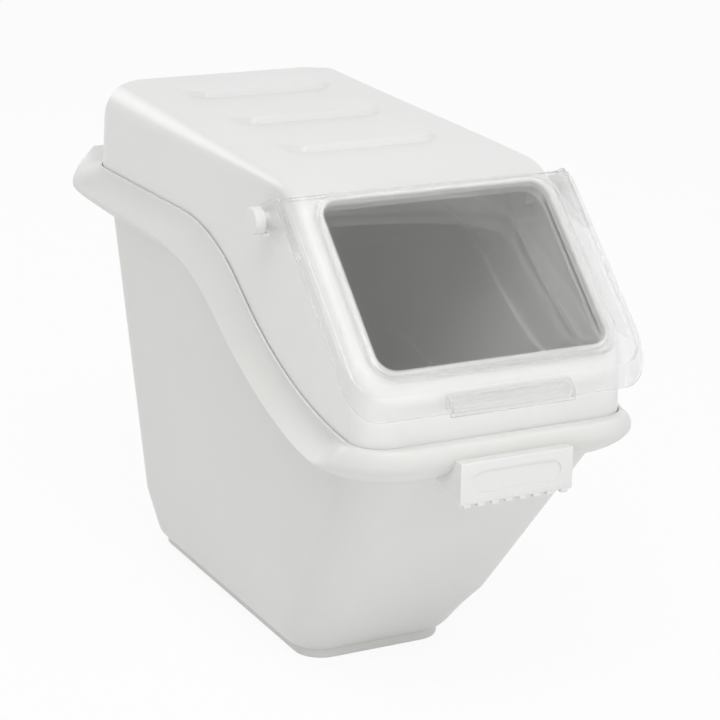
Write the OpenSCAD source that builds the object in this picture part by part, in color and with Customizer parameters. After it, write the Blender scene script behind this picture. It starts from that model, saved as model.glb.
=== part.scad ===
// Counter-top ingredient bin with a swept rim, a lift-off hood and a clear flip lid.
// Millimetres. The front faces -Y, +Z is up, and the origin is the middle of the footprint.

/* [Tub foot] */
// Half of the width of the foot that stands on the counter
foot_half_w = 65; // [55:1:70]
// Front edge of the foot, measured from the middle
foot_front = -84; // [-90:1:-78]
// Rear edge of the foot, measured from the middle
foot_rear = 228; // [215:1:232]
// Height of the straight foot band
foot_band = 9; // [6:0.5:12]
// Corner radius of the foot in plan
foot_corner = 24; // [12:1:28]

/* [Tub body] */
// Height at which the rounded bottom edge has become the side wall
belly_z = 58; // [50:1:66]
// Half width of the body at the top of its rounded bottom edge
belly_half_w = 87.5; // [84:0.5:92]
// Front of the body at the top of its rounded bottom edge
belly_front = -132; // [-136:1:-126]
// Rear of the body at the top of its rounded bottom edge
belly_rear = 232; // [230:1:234]
// Corner radius of the body there
belly_corner = 36; // [26:1:40]
// Extra rounding of the body's corners half way down its bottom edge
belly_round = 8; // [4:1:14]
// Widening of each side wall for each millimetre of height
side_draft = 0.112; // [0.08:0.002:0.13]
// Front of the body under the rim
shoulder_front = -259; // [-262:1:-250]
// Rear of the body under the rim
shoulder_rear = 237; // [235:1:240]
// Corner radius of the body under the rim
shoulder_corner = 42; // [30:1:50]
// Thickness of the moulded walls of the tub
tub_wall = 3; // [2:0.25:4]

/* [Swept rim] */
// Height of the rim seam along the front
rim_front_z = 248; // [236:1:256]
// Height of the rim seam along the rear
rim_rear_z = 355; // [345:1:362]
// Slope of the ramp that joins the two levels, in degrees
ramp_slope = 35; // [30:1:40]
// Place along the bin where the ramp is at half height
ramp_middle = -84; // [-96:1:-72]
// Radius of the sweep from the front level into the ramp
front_sweep_r = 334; // [240:2:340]
// Radius of the sweep from the ramp into the rear level
rear_sweep_r = 177; // [120:1:190]
// Height of the rolled band along the front
band_front = 32; // [26:1:36]
// Height of the rolled band along the sides
band_side = 46; // [36:1:48]
// Height of the rolled band round the rear
band_rear = 41; // [34:1:44]
// Half width over the rolled band
band_half_w = 126; // [124:0.5:130]
// Half width over the rolled band at the rear
band_half_w_rear = 125; // [122:0.5:126]
// Corner radius of the rolled nose in plan
nose_corner = 50; // [42:1:54]
// Height of the bead on the nose over the seam
bead_rise = 5; // [2:0.5:6]
// Front of the rolled nose
nose_front = -287; // [-289:1:-284]
// Rear edge of the grip lip
lip_rear = 305; // [295:1:310]
// Corner radius of the grip lip in plan
lip_corner = 30; // [26:1:40]
// Width of the rim edge beside the hood
rim_edge = 2; // [1.5:0.25:3]
// Depth of the ledge that the hood stands on
ledge_depth = 8; // [6:0.5:10]
// Width of the ledge inside the hood's wall
ledge_inset = 4; // [3:0.5:5]

/* [Hood] */
// Half width of the hood at the front
hood_half_w_front = 113; // [111:0.5:114]
// Half width of the hood at the rear
hood_half_w_rear = 118; // [115:0.5:120]
// Front face of the hood
hood_front = -271; // [-273:0.5:-269]
// Rear face of the hood
hood_rear = 254; // [248:1:258]
// Corner radius of the hood at the front in plan
hood_corner_front = 26; // [20:1:30]
// Corner radius of the hood at the rear in plan
hood_corner_rear = 37; // [34:1:46]
// Height of the top over the front end of its flat
top_front_z = 414; // [410:0.5:417]
// Rise of the top towards the rear, in degrees
top_rise = 2.3; // [0:0.1:4]
// Radius where the top turns down into the sloping face
brow_r = 60; // [40:1:70]
// Rounding of the long top edges towards the rear
top_edge_r = 22; // [16:1:26]
// Rounding of the edges of the sloping face
slope_edge_r = 9; // [6:1:12]
// Rounding of the rear top edge
rear_edge_r = 32; // [22:1:36]
// Inward lean of the hood's sides over their height
hood_draft = 2.5; // [1:0.5:4]
// Wall of the hood
hood_wall = 3; // [2:0.25:4]
// Room between the hood's wall and the rim edge
hood_clear = 0.5; // [0.3:0.1:0.8]
// Gap under the hood's lower edge
seat_gap = 0.1; // [0.05:0.05:0.3]

/* [Treads raised on the hood's top] */
// Number of treads
tread_count = 3; // [1:1:3]
// Front edge of the foremost tread
tread_first = -54; // [-60:1:-40]
// Distance from tread to tread
tread_pitch = 97; // [80:1:100]
// Length of a tread from its fading rear end to its front edge
tread_length = 64; // [50:1:72]
// Half width of a tread
tread_half_w = 70; // [50:1:72]
// Height of a tread at its front edge
tread_rise = 4.5; // [1:0.25:5]
// Rounding of a tread's front corners
tread_corner = 26; // [10:1:30]
// Run of the steep front edge and sides of a tread
tread_run = 5; // [3:0.5:8]

/* [Opening under the lid] */
// Slope of the opening, in degrees from level
mouth_slope = 44; // [42:0.5:46]
// Lower edge of the lid's plane, measured from the middle
mouth_y = -267; // [-269:0.5:-265]
// Height of the lower edge of the lid's plane
mouth_z = 307; // [305:0.5:309]
// Half width of the opening
mouth_half_w = 96; // [88:0.5:98]
// Drop from the roof's front end to the opening's upper edge
mouth_top_drop = 5.8; // [5:0.1:12]
// Corner radius of the opening
mouth_corner = 14; // [10:1:18]
// Depth of the hood's sloping face below the lid's plane
face_depth = 12; // [11:0.25:13]
// Wall of the raised collar round the opening
collar_wall = 3; // [2:0.25:3]
// Height of the collar over the sloping face
collar_rise = 7; // [4:0.25:7]
// Depth of the collar behind the sloping face
collar_drop = 7; // [5:0.5:9]

/* [Flip lid] */
// Thickness of the clear lid
lid_wall = 2.5; // [2:0.1:3]
// Half width of the raised pane
pane_half_w = 105; // [104:0.5:107]
// Margin of the raised pane below the opening
pane_margin = 10; // [8.5:0.5:11]
// Margin of the raised pane above the opening
pane_top_margin = 6; // [6:0.25:7]
// Corner radius of the raised pane
pane_corner = 22; // [16:1:24]
// Depth of the flange below the raised pane
flange_step = 5; // [4.5:0.25:5.5]
// Half width of the flat flange
flange_half_w = 121; // [119:0.25:122]
// Reach of the flange below the opening
flange_front = 22; // [21:0.5:24]
// Corner radius of the flange at its front
flange_corner = 24; // [18:1:28]
// Corner radius of the flange beside the hinge
flange_rear_corner = 6; // [4:0.5:12]
// Height of the skirt along the front
skirt_h = 16.5; // [12:0.5:18]
// Drop of the flared skirt along the sides
skirt_side = 5; // [3:0.5:7]
// Reach of the flared skirt beyond the flange at the sides
skirt_flare = 6; // [4:0.5:7]
// Half width of the finger tab
tab_half_w = 52; // [40:1:60]
// Reach of the finger tab in front of the skirt
tab_reach = 9; // [7:0.5:12]
// Fall of the finger tab's top towards its front
tab_fall = 8; // [4:0.5:9]
// Height of the finger tab's front
tab_h = 9; // [7:0.5:10]

/* [Hinge] */
// Distance of the hinge axis behind the opening's upper edge
hinge_behind = 40; // [38:0.5:42]
// Depth of the hinge axis below the roof's front end
hinge_below = 28; // [26:0.5:30]
// Diameter of the hinge pin's shank
pin_d = 12; // [8:0.5:13]
// Diameter of the hinge pin's head
pin_head_d = 21; // [18:0.5:22]
// Length of the hinge pin's head
pin_head_l = 9; // [8:0.5:12]
// Running clearance between the ear and the shank, on the diameter
pin_clear = 0.5; // [0.3:0.1:0.8]
// Clearance beside the ear along the pin
ear_side_gap = 0.4; // [0.3:0.1:0.6]
// Thickness of the lid's ears
ear_t = 3; // [2.5:0.25:3.5]
// Diameter of the round end of the ears
ear_d = 24; // [20:1:26]
// Run of the ears along the skirt, down from the pane's upper end
ear_run = 48; // [40:1:60]
// Depth of the pin sockets inside the hood
socket_depth = 9; // [6:0.5:12]
// Wall of the pin sockets
socket_wall = 3.5; // [2:0.5:5]

/* [Front grip] */
// Half width of the front grip
grip_half_w = 47; // [40:1:56]
// Front face of the grip
grip_front = -296; // [-298:0.5:-293]
// Height of the grip's lower edge
grip_low_z = 206; // [203:1:208]
// Height of the grip's face
grip_face_h = 32; // [28:1:34]
// Wall of the grip
grip_wall = 3; // [2:0.25:4]
// Number of teeth under the grip
tooth_count = 8; // [4:1:10]
// Width of a tooth
tooth_w = 6; // [3:0.5:7]
// Height of a tooth
tooth_h = 4; // [2:0.5:5]
// Half width of the bare recess in the grip's face
recess_half_w = 37; // [20:1:38]
// Height of the bare recess
recess_h = 17; // [8:1:20]
// Depth of the bare recess
recess_depth = 0.8; // [0.4:0.1:1.5]

/* [Hidden] */
eps = 0.01;
arc_steps = 6;
bore_fn = 64;

// The moulds are drawn from the foot's own middle, and the whole bin is then moved to the middle
// of its full length
middle = -(grip_front + lip_rear) / 2;
module centred() {
    translate([0, middle, 0]) children();
}

// Small helpers
function mix(a, b, t) = a + (b - a) * t;
function ease(t) = let (c = max(0, min(1, t))) c * c * (3 - 2 * c);
function slope_at(y) = (top_z(y + 0.5) - top_z(y - 0.5));

// The swept rim in side view: two levels, a ramp and two arcs that are tangent to them
rim_mid_z = (rim_front_z + rim_rear_z) / 2;
ramp_front_y = ramp_middle - (rim_mid_z - rim_front_z) / tan(ramp_slope);
ramp_rear_y = ramp_middle + (rim_rear_z - rim_mid_z) / tan(ramp_slope);
front_tan = front_sweep_r * tan(ramp_slope / 2);
rear_tan = rear_sweep_r * tan(ramp_slope / 2);
function rim_z(y) =
    y < ramp_front_y - front_tan ? rim_front_z
    : y < ramp_front_y + front_tan * cos(ramp_slope)
        ? rim_front_z + front_sweep_r
          - sqrt(front_sweep_r * front_sweep_r - pow(y - ramp_front_y + front_tan, 2))
    : y < ramp_rear_y - rear_tan * cos(ramp_slope)
        ? rim_mid_z + (y - ramp_middle) * tan(ramp_slope)
    : y < ramp_rear_y + rear_tan
        ? rim_rear_z - rear_sweep_r
          + sqrt(rear_sweep_r * rear_sweep_r - pow(ramp_rear_y + rear_tan - y, 2))
    : rim_rear_z;

// The opening ends below the brow, and the hinge follows it
mouth_length = (top_front_z - mouth_top_drop - mouth_z) / sin(mouth_slope);
hinge_y = round(mouth_y + mouth_length * cos(mouth_slope) + hinge_behind);
hinge_z = top_front_z - hinge_below;

// The hood in side view: the sloping face, the brow arc and the gently rising top
face_y0 = mouth_y + face_depth * sin(mouth_slope);
face_z0 = mouth_z - face_depth * cos(mouth_slope);
brow_y = (top_front_z - face_z0 + face_y0 * tan(mouth_slope)) / tan(mouth_slope);
brow_tan = brow_r * tan((mouth_slope - top_rise) / 2);
brow_cy = brow_y + brow_tan * cos(top_rise) + brow_r * sin(top_rise);
brow_cz = top_front_z + brow_tan * sin(top_rise) - brow_r * cos(top_rise);
function top_z(y) =
    y < brow_y - brow_tan * cos(mouth_slope) ? face_z0 + (y - face_y0) * tan(mouth_slope)
    : y < brow_y + brow_tan * cos(top_rise)
        ? brow_cz + sqrt(brow_r * brow_r - pow(y - brow_cy, 2))
    : top_front_z + (y - brow_y) * tan(top_rise);

// Widths along the bin
function hood_half_w(y) =
    mix(hood_half_w_front, hood_half_w_rear, ease((y - shoulder_front) / (shoulder_rear - shoulder_front)));
function body_half_w(z) = belly_half_w + (z - belly_z) * side_draft;
function band_h(y) =
    mix(mix(band_front, band_side, ease((y - hood_front) / (ramp_front_y - hood_front))),
        band_rear, ease((y - ramp_middle) / (shoulder_rear - ramp_middle)));

// Places along the sides where every ring has a point: the sweep, and the edges of the treads
sweep_places = [for (k = [0 : 10]) mix(ramp_front_y - 0.7 * front_tan, ramp_rear_y + rear_tan, k / 10)];
function tread_front(k) = tread_first + k * tread_pitch;
tread_steps = [0, tread_run, tread_corner / 2, tread_corner, tread_length];
tread_places = [for (k = [0 : tread_count - 1]) for (d = tread_steps) tread_front(k) + d];
function sorted(v) = len(v) < 2 ? v
    : let (p = v[floor(len(v) / 2)])
      concat(sorted([for (a = v) if (a < p) a]), [p], sorted([for (a = v) if (a > p) a]));
function spaced(v, gap, i = 1, out = [-1000]) =
    i > len(v) ? [for (k = [1 : len(out) - 1]) out[k]]
    : spaced(v, gap, i + 1, v[i - 1] - out[len(out) - 1] > gap ? concat(out, [v[i - 1]]) : out);
crown_front = hood_front + slope_edge_r;
crown_rear = hood_rear - rear_edge_r;
crown_a = crown_front + max(1, hood_corner_front - slope_edge_r);
crown_b = crown_rear - max(1, hood_corner_rear - rear_edge_r);
side_places = spaced(sorted(concat(tread_places, sweep_places)), 3.5);
side_t = [for (y = side_places) if (y > crown_a + 3 && y < crown_b - 3) (y - crown_a) / (crown_b - crown_a)];
lid_t = [0.1, 0.2, 0.26, 0.3, 0.34, 0.4, 0.6, 0.85];

// A ring is a rounded rectangle, walked from the front centre up the left side to the rear and back.
// The left half comes first and the right half mirrors it.
function walk_len(t) = 2 * (arc_steps + 1) + len(t);
function walk_y(j, t, yf, yr, rf, rr) =
    j <= arc_steps ? yf + rf * (1 - cos(90 * j / arc_steps))
    : j <= arc_steps + len(t) ? mix(yf + rf, yr - rr, t[j - arc_steps - 1])
    : yr - rr + rr * sin(90 * (j - arc_steps - len(t) - 1) / arc_steps);
function walk_in(j, t, rf, rr) =
    j <= arc_steps ? rf * (1 - sin(90 * j / arc_steps))
    : j <= arc_steps + len(t) ? 0
    : rr * (1 - cos(90 * (j - arc_steps - len(t) - 1) / arc_steps));
function rear_turn(j, t) = j > arc_steps + len(t) ? walk_in(j, t, 0, 1) : 0;
function mirror_half(half) =
    concat(half, [for (j = [len(half) - 1 : -1 : 0]) [-half[j].x, half[j].y, half[j].z]]);
function skin_faces(rings, n) = [for (k = [0 : rings - 2], i = [0 : n - 1])
    let (a = k * n + i,
         b = k * n + (i + 1) % n,
         c = (k + 1) * n + (i + 1) % n,
         d = (k + 1) * n + i)
    for (f = i < n / 2 ? [[a, b, d], [b, c, d]] : [[a, c, d], [a, b, c]]) f];
function turned(face) = [for (i = [len(face) - 1 : -1 : 0]) face[i]];
function flipped(faces) = [for (f = faces) turned(f)];
function flat_list(v) = [for (a = v) for (b = a) b];

// TUB
tub_n = walk_len(side_t);

// One ring of the plain body, flat or up to the rim: t is 0 at the belly and 1 under the rim
function body_point(j, t, inset) =
    let (rb = max(2, belly_corner - inset),
         rs = max(2, shoulder_corner - inset),
         y1 = walk_y(j, side_t, shoulder_front + inset, shoulder_rear - inset, rs, rs),
         z1 = rim_z(y1) - band_h(y1),
         x1 = -(body_half_w(z1) - inset) + walk_in(j, side_t, rs, rs),
         y0 = walk_y(j, side_t, belly_front + inset, belly_rear - inset, rb, rb),
         x0 = -(belly_half_w - inset) + walk_in(j, side_t, rb, rb))
    [mix(x0, x1, t), mix(y0, y1, t), mix(belly_z, z1, t)];
function body_ring(t, inset) = mirror_half([for (j = [0 : tub_n - 1]) body_point(j, t, inset)]);

// One flat ring between the foot and the belly; a is the angle along the rounded bottom edge
function belly_ring(a, inset, low) =
    let (s = sin(a),
         c = 1 - cos(a),
         hw = mix(foot_half_w + 1, belly_half_w, mix(c, s, 0.7)) - inset,
         yf = mix(foot_front - 1, belly_front, mix(c, s, 0.15)) + inset,
         yr = mix(foot_rear + 1, belly_rear, mix(c, s, 0.7)) - inset,
         r = max(2, mix(foot_corner, belly_corner, s) + belly_round * sin(180 * c) - inset))
    mirror_half([for (j = [0 : tub_n - 1])
        [-hw + walk_in(j, side_t, r, r), walk_y(j, side_t, yf, yr, r, r), mix(low, belly_z, c)]]);
function foot_ring(z, inset) =
    let (r = max(2, foot_corner - inset))
    mirror_half([for (j = [0 : tub_n - 1])
        [-(foot_half_w - inset) + walk_in(j, side_t, r, r),
         walk_y(j, side_t, foot_front + inset, foot_rear - inset, r, r), z]]);

// The rolled band in section: u is 0 where it leaves the body and 1 at the seam.
// The nose stands out most at the share peak; it is a beak in front and a low ridge along the sides.
// Round the rear corners it climbs to the seam's level as a deep lip.
function front_share(y) = 1 - ease((y - nose_front) / (hood_corner_front + 40));
function rear_share(y) = ease((y - hood_rear + 1.8 * hood_corner_rear) / (1.8 * hood_corner_rear));
function peak_at(y) = mix(0.3, 0.84, front_share(y));
function fullness(y) = mix(mix(1.2, 2.2, front_share(y)), 1.8, rear_share(y));
function hollow(y) = mix(mix(2.2, 0.55, front_share(y)), 0.9, rear_share(y));
function bulge(u, y) =
    let (p = peak_at(y))
    u <= p ? mix(pow(sin(90 * u / p), 1.5), 1 - pow(1 - u / p, 2), max(front_share(y), rear_share(y)))
    : pow(max(0, 1 - pow((u - p) / (1 - p), fullness(y))), hollow(y));
function band_point(j, u) =
    let (rs = shoulder_corner,
         rh = hood_corner_front + rim_edge,
         rk = hood_corner_rear + rim_edge,
         yb = walk_y(j, side_t, shoulder_front, shoulder_rear, rs, rs),
         ys = walk_y(j, side_t, hood_front - rim_edge, hood_rear + rim_edge, rh, rk),
         yn = walk_y(j, side_t, nose_front, lip_rear, nose_corner, lip_corner),
         f = bulge(u, ys),
         p = peak_at(ys),
         y = mix(mix(yb, ys, u), yn, f),
         z = mix(mix(rim_z(yb) - band_h(yb), rim_z(ys), u), rim_z(ys), f * rear_turn(j, side_t))
             + bead_rise * front_share(ys) * sin(180 * max(0, u - p) / (1 - p)),
         xb = body_half_w(rim_z(yb) - band_h(yb)) - walk_in(j, side_t, rs, rs),
         xs = hood_half_w(ys) + hood_clear + rim_edge - walk_in(j, side_t, rh, rk),
         xn = mix(band_half_w, band_half_w_rear, ease((ys - ramp_middle) / (ramp_rear_y - ramp_middle)))
              - walk_in(j, side_t, nose_corner, lip_corner))
    [-mix(mix(xb, xs, u), xn, f), y, z];
band_shares = [0.06, 0.13, 0.21, 0.3, 0.4, 0.5, 0.62, 0.74, 0.84, 0.89, 0.94, 0.98, 1];
function band_ring(u) = mirror_half([for (j = [0 : tub_n - 1]) band_point(j, u)]);

// A ring that follows the hood's plan, out or in by d, and lies h above the seam
function seam_ring(d, h) =
    let (rf = max(2, hood_corner_front + d),
         rr = max(2, hood_corner_rear + d))
    mirror_half([for (j = [0 : tub_n - 1])
        let (y = walk_y(j, side_t, hood_front - d, hood_rear + d, rf, rr))
        [-(hood_half_w(y) + d) + walk_in(j, side_t, rf, rr), y, rim_z(y) + h]]);

floor_z = tub_wall + 1;
tub_rings = concat(
    [foot_ring(0, 1.5), foot_ring(1.5, 0), foot_ring(foot_band, 0)],
    [for (a = [8, 30, 52, 72]) belly_ring(a, 0, foot_band)],
    [for (t = [0, 0.5, 1]) body_ring(t, 0)],
    [for (u = band_shares) band_ring(u)],
    [seam_ring(hood_clear, 0), seam_ring(hood_clear, -ledge_depth),
     seam_ring(-hood_wall - ledge_inset, -ledge_depth)],
    [for (t = [0.97, 0.5, 0]) body_ring(t, tub_wall)],
    [for (a = [72, 52, 30, 8]) belly_ring(a, tub_wall, foot_band)],
    [foot_ring(floor_z, tub_wall)]);

module tub() {
    n = 2 * tub_n;
    last = len(tub_rings) - 1;
    color("whitesmoke")
    centred()
    polyhedron(
        points = flat_list(tub_rings),
        faces = concat(skin_faces(len(tub_rings), n),
                       [[for (i = [n - 1 : -1 : 0]) i]],
                       [[for (i = [0 : n - 1]) last * n + i]]),
        convexity = 8);
}

// HOOD
// Height of the treads at a place on the top
function tread_at(y) = max([for (k = [0 : tread_count - 1])
    let (d = y - tread_front(k))
    d <= 0 || d >= tread_length ? 0
    : d < tread_run ? tread_rise * d / tread_run
    : tread_rise * pow((tread_length - d) / (tread_length - tread_run), 1.5)]);

// Rounding of the top edge along the hood: crisp from the sloping face to the brow, then softer
// towards the rear
function edge_r(y) = mix(mix(slope_edge_r, top_edge_r, ease((y - brow_y) / (crown_b - brow_y))),
                         rear_edge_r, ease((y - crown_b) / (crown_rear - crown_b)));

// One ring of the hood, a degrees round its top edge, inset by the wall on the inside
function crown_ring(a, inset) =
    let (ef = slope_edge_r - inset,
         er = rear_edge_r - inset,
         c = 1 - cos(a),
         rf = max(1, hood_corner_front - inset - ef * c),
         rr = max(1, hood_corner_rear - inset - er * c))
    mirror_half([for (j = [0 : tub_n - 1])
        let (y = walk_y(j, side_t, hood_front + inset + ef * c, hood_rear - inset - er * c, rf, rr),
             e = max(1, edge_r(y) - inset),
             drop = inset * sqrt(1 + pow(slope_at(y), 2)))
        [-(hood_half_w(y) - hood_draft - inset - e * c) + walk_in(j, side_t, rf, rr), y,
         top_z(y) - drop - e * (1 - sin(a))]]);

// The cap joins the two halves of a ring across the top, with the treads raised on it
function tread_turn(y) = max([for (k = [0 : tread_count - 1])
    let (d = tread_corner - max(0, y - tread_front(k)))
    d >= tread_corner || d <= 0 ? 0 : tread_corner - sqrt(tread_corner * tread_corner - d * d)]);
function cap_half_w(ring, j, k) =
    min((k == 0 ? tread_half_w : tread_half_w - tread_run) - tread_turn(ring[j].y),
        abs(ring[j].x) - 2 * (k + 1));
function cap_row(ring, j) =
    let (l = ring[j],
         w0 = cap_half_w(ring, j, 0),
         w1 = cap_half_w(ring, j, 1),
         d = tread_at(l.y))
    [[-w0, l.y, l.z], [-w1, l.y, l.z + d], [w1, l.y, l.z + d], [w0, l.y, l.z]];
function cap_points(ring) = [for (j = [0 : tub_n - 1]) for (p = cap_row(ring, j)) p];
function cap_index(start, extra, j, c) =
    c == 0 ? start + j : c == 5 ? start + 2 * tub_n - 1 - j : extra + 4 * j + c - 1;
function cap_end(start, extra, near, far) =
    let (corner = cap_index(start, extra, far, 0))
    concat([for (c = [0 : 4])
                [corner, cap_index(start, extra, near, c), cap_index(start, extra, near, c + 1)]],
           [[corner, cap_index(start, extra, near, 5), cap_index(start, extra, far, 5)]]);
function cap_faces(start, extra) = concat(
    cap_end(start, extra, 1, 0),
    [for (j = [1 : tub_n - 3], c = [0 : 4])
        let (a = cap_index(start, extra, j, c),
             b = cap_index(start, extra, j, c + 1),
             d = cap_index(start, extra, j + 1, c),
             e = cap_index(start, extra, j + 1, c + 1))
        for (f = [[a, d, e], [a, e, b]]) f],
    flipped(cap_end(start, extra, tub_n - 2, tub_n - 1)));

crown_angles = [0, 22, 45, 68, 90];
function hood_base_ring(inset) = seam_ring(-inset, seat_gap - ledge_depth);
hood_rings = concat(
    [for (a = [90, 60, 30, 0]) crown_ring(a, hood_wall)],
    [hood_base_ring(hood_wall), hood_base_ring(0)],
    [for (a = crown_angles) crown_ring(a, 0)]);

module hood_shell() {
    n = 2 * tub_n;
    count = len(hood_rings);
    inner_cap = cap_points(hood_rings[0]);
    outer_cap = cap_points(hood_rings[count - 1]);
    extra = count * n;
    polyhedron(
        points = concat(flat_list(hood_rings), inner_cap, outer_cap),
        faces = concat(skin_faces(count, n),
                       flipped(cap_faces(0, extra)),
                       cap_faces((count - 1) * n, extra + len(inner_cap))),
        convexity = 8);
}

// Everything on the sloping face is drawn flat: x across, y up the slope, z out of the face
module on_slope() {
    translate([0, mouth_y, mouth_z]) rotate([mouth_slope, 0, 0]) children();
}

// A rounded rectangle from y0 to y1, straight-sided, as one outline
function pill(hw, y0, y1, r) = [for (c = [[-hw + r, y0 + r, 180], [hw - r, y0 + r, 270],
                                          [hw - r, y1 - r, 0], [-hw + r, y1 - r, 90]])
    for (k = [0 : arc_steps])
        let (t = c[2] + 90 * k / arc_steps)
        [c[0] + r * cos(t), c[1] + r * sin(t)]];
module slab(hw, y0, y1, r, z0, z1) {
    translate([0, 0, z0]) linear_extrude(z1 - z0) polygon(pill(hw, y0, y1, r));
}

module collar_outline(grow, z0, z1) {
    slab(mouth_half_w + grow, -grow, mouth_length + grow, mouth_corner + grow, z0, z1);
}

module pin_axis(x) {
    translate([x, hinge_y, hinge_z]) rotate([0, 90, 0]) children();
}

hood_side_x = hood_half_w(hinge_y) - hood_draft;
socket_x = hood_side_x - hood_wall - socket_depth;
module socket(side) {
    pin_axis(side > 0 ? socket_x : -hood_side_x + 1)
        cylinder(d = pin_d + 2 * socket_wall, h = hood_side_x - socket_x - 1, $fn = bore_fn);
}

module hood() {
    color("white")
    centred()
    difference() {
        union() {
            hood_shell();
            on_slope() collar_outline(collar_wall, -face_depth - collar_drop, -face_depth + collar_rise);
            for (side = [-1, 1]) socket(side);
        }
        on_slope() collar_outline(0, -face_depth - collar_drop - 30, 30);
        pin_axis(-hood_side_x - 10) cylinder(d = pin_d, h = 10 + hood_side_x - socket_x - 1, $fn = bore_fn);
        pin_axis(socket_x + 1) cylinder(d = pin_d, h = 10 + hood_side_x - socket_x - 1, $fn = bore_fn);
    }
}

// FLIP LID
lid_n = walk_len(lid_t);
lid_top = mouth_length + pane_top_margin;
ear_root = round(lid_top - ear_run);
down_y = sin(mouth_slope);
down_z = cos(mouth_slope);

// A ring of the lid: half width, lower and upper ends on the slope, corner radii and height over the
// face. A fallen ring hangs straight down along the front and a little below the flange at the sides.
function lid_ring(hw, v0, v1, rf, rr, z, fall) = mirror_half([for (j = [0 : lid_n - 1])
    let (v = walk_y(j, lid_t, v0, v1, rf, rr),
         plumb = 1 - ease((v - v0) / (1.4 * rf)),
         share = 1 - 0.85 * rear_turn(j, lid_t))
    [-hw + walk_in(j, lid_t, rf, rr),
     v - fall * skirt_h * plumb * down_y,
     z - fall * mix(skirt_side * share, skirt_h * down_z, plumb)]]);
function pane_ring(inset, z) =
    lid_ring(pane_half_w - inset, inset - pane_margin, lid_top - inset,
             pane_corner - inset, pane_corner - inset, z, 0);
function flange_ring(inset, z, fall, flare) =
    lid_ring(flange_half_w + flare - inset, inset - flange_front, lid_top + 1 - inset,
             flange_corner + flare / 2 - inset, max(1, flange_rear_corner - inset), z, fall);

lid_rings = [
    pane_ring(5, 0),
    pane_ring(2, -0.6),
    pane_ring(0, -2.4),
    pane_ring(-0.6, -flange_step + 0.7),
    pane_ring(-0.9, -flange_step),
    flange_ring(1.6, -flange_step, 0, 0),
    flange_ring(0, -flange_step - 0.7, 0, 0),
    flange_ring(0, -flange_step - 0.7, 1, skirt_flare),
    flange_ring(1.7, -flange_step - 2.3, 1, skirt_flare),
    flange_ring(lid_wall, -flange_step - lid_wall, 0, 0),
    pane_ring(lid_wall, -flange_step - lid_wall + 0.6),
    pane_ring(lid_wall, -lid_wall - 1.6),
    pane_ring(6, -lid_wall)];

module lid_shell() {
    n = 2 * lid_n;
    last = len(lid_rings) - 1;
    polyhedron(
        points = flat_list(lid_rings),
        faces = concat(flipped(skin_faces(len(lid_rings), n)),
                       [[for (i = [0 : n - 1]) i]],
                       [[for (i = [n - 1 : -1 : 0]) last * n + i]]),
        convexity = 8);
}

// The finger tab: a lipped shelf in front of the skirt
tab_top_y = mouth_y - flange_front * cos(mouth_slope) + flange_step * sin(mouth_slope);
tab_top_z = mouth_z - flange_front * sin(mouth_slope) - flange_step * cos(mouth_slope);
module finger_tab() {
    front = tab_top_y - tab_reach;
    edge_z = tab_top_z - tab_fall;
    root_y = tab_top_y + 1.5;
    profile = [[root_y, tab_top_z - 0.5], [front + 1, edge_z + 0.6],
               [front, edge_z - 0.6], [front, edge_z - tab_h],
               [front + lid_wall, edge_z - tab_h], [front + lid_wall, edge_z - lid_wall + 1],
               [root_y, tab_top_z - lid_wall - 1.5]];
    cheek = [[root_y, tab_top_z - 1], [front + 1, edge_z],
             [front + 1, edge_z - tab_h + 1], [root_y, edge_z - 4]];
    rotate([90, 0, 90]) {
        translate([0, 0, -tab_half_w]) linear_extrude(2 * tab_half_w) polygon(profile);
        for (x = [-tab_half_w, tab_half_w - lid_wall])
            translate([0, 0, x]) linear_extrude(lid_wall) polygon(cheek);
    }
}

// An ear reaches from the flange's upper corner back to the hinge pin
ear_x = flange_half_w + 0.8;
function slope_point(v, n) = [mouth_y + v * cos(mouth_slope) - n * sin(mouth_slope),
                              mouth_z + v * sin(mouth_slope) + n * cos(mouth_slope)];
module ear(side) {
    under = -flange_step - 4.3;
    outline = concat([slope_point(ear_root, under - 4), slope_point(ear_root, under),
                      slope_point(lid_top - 2, under), slope_point(lid_top + 8, under - 4)],
                     [for (k = [0 : 2 * arc_steps])
                         let (t = 50 - 190 * k / (2 * arc_steps))
                         [hinge_y + ear_d / 2 * cos(t), hinge_z + ear_d / 2 * sin(t)]],
                     [slope_point(ear_root + 20, under - 18)]);
    difference() {
        rotate([90, 0, 90])
            translate([0, 0, side > 0 ? ear_x : -ear_x - ear_t])
                linear_extrude(ear_t) polygon(outline);
        pin_axis(side * (ear_x + ear_t / 2) - ear_t)
            cylinder(d = pin_d + pin_clear, h = 2 * ear_t, $fn = bore_fn);
    }
}

module flip_lid() {
    color([0.85, 0.9, 0.92, 0.45])
    centred() {
        on_slope() lid_shell();
        finger_tab();
        for (side = [-1, 1]) ear(side);
    }
}

// HINGE PINS
head_x = ear_x + ear_t + ear_side_gap;
module hinge_pin(side) {
    color("white")
    centred()
    mirror([side > 0 ? 0 : 1, 0, 0]) {
        pin_axis(socket_x + 1) cylinder(d = pin_d, h = head_x - socket_x - 1 + eps, $fn = bore_fn);
        pin_axis(head_x) cylinder(d = pin_head_d, h = pin_head_l - 1, $fn = bore_fn);
        pin_axis(head_x + pin_head_l - 1 - eps)
            cylinder(d1 = pin_head_d, d2 = pin_head_d - 2, h = 1 + eps, $fn = bore_fn);
    }
}
module hinge_pin_left() { hinge_pin(-1); }
module hinge_pin_right() { hinge_pin(1); }

// FRONT GRIP
// A cup under the front of the rim: a face, two cheeks that end on the raked wall, and teeth below
grip_top_z = grip_low_z + grip_face_h;
tooth_pitch = (2 * grip_half_w - 2 * grip_wall - tooth_w) / (tooth_count - 1);
front_line = [for (k = [6 : 8 + len(band_shares)]) [tub_rings[k][0].y, tub_rings[k][0].z]];

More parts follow.
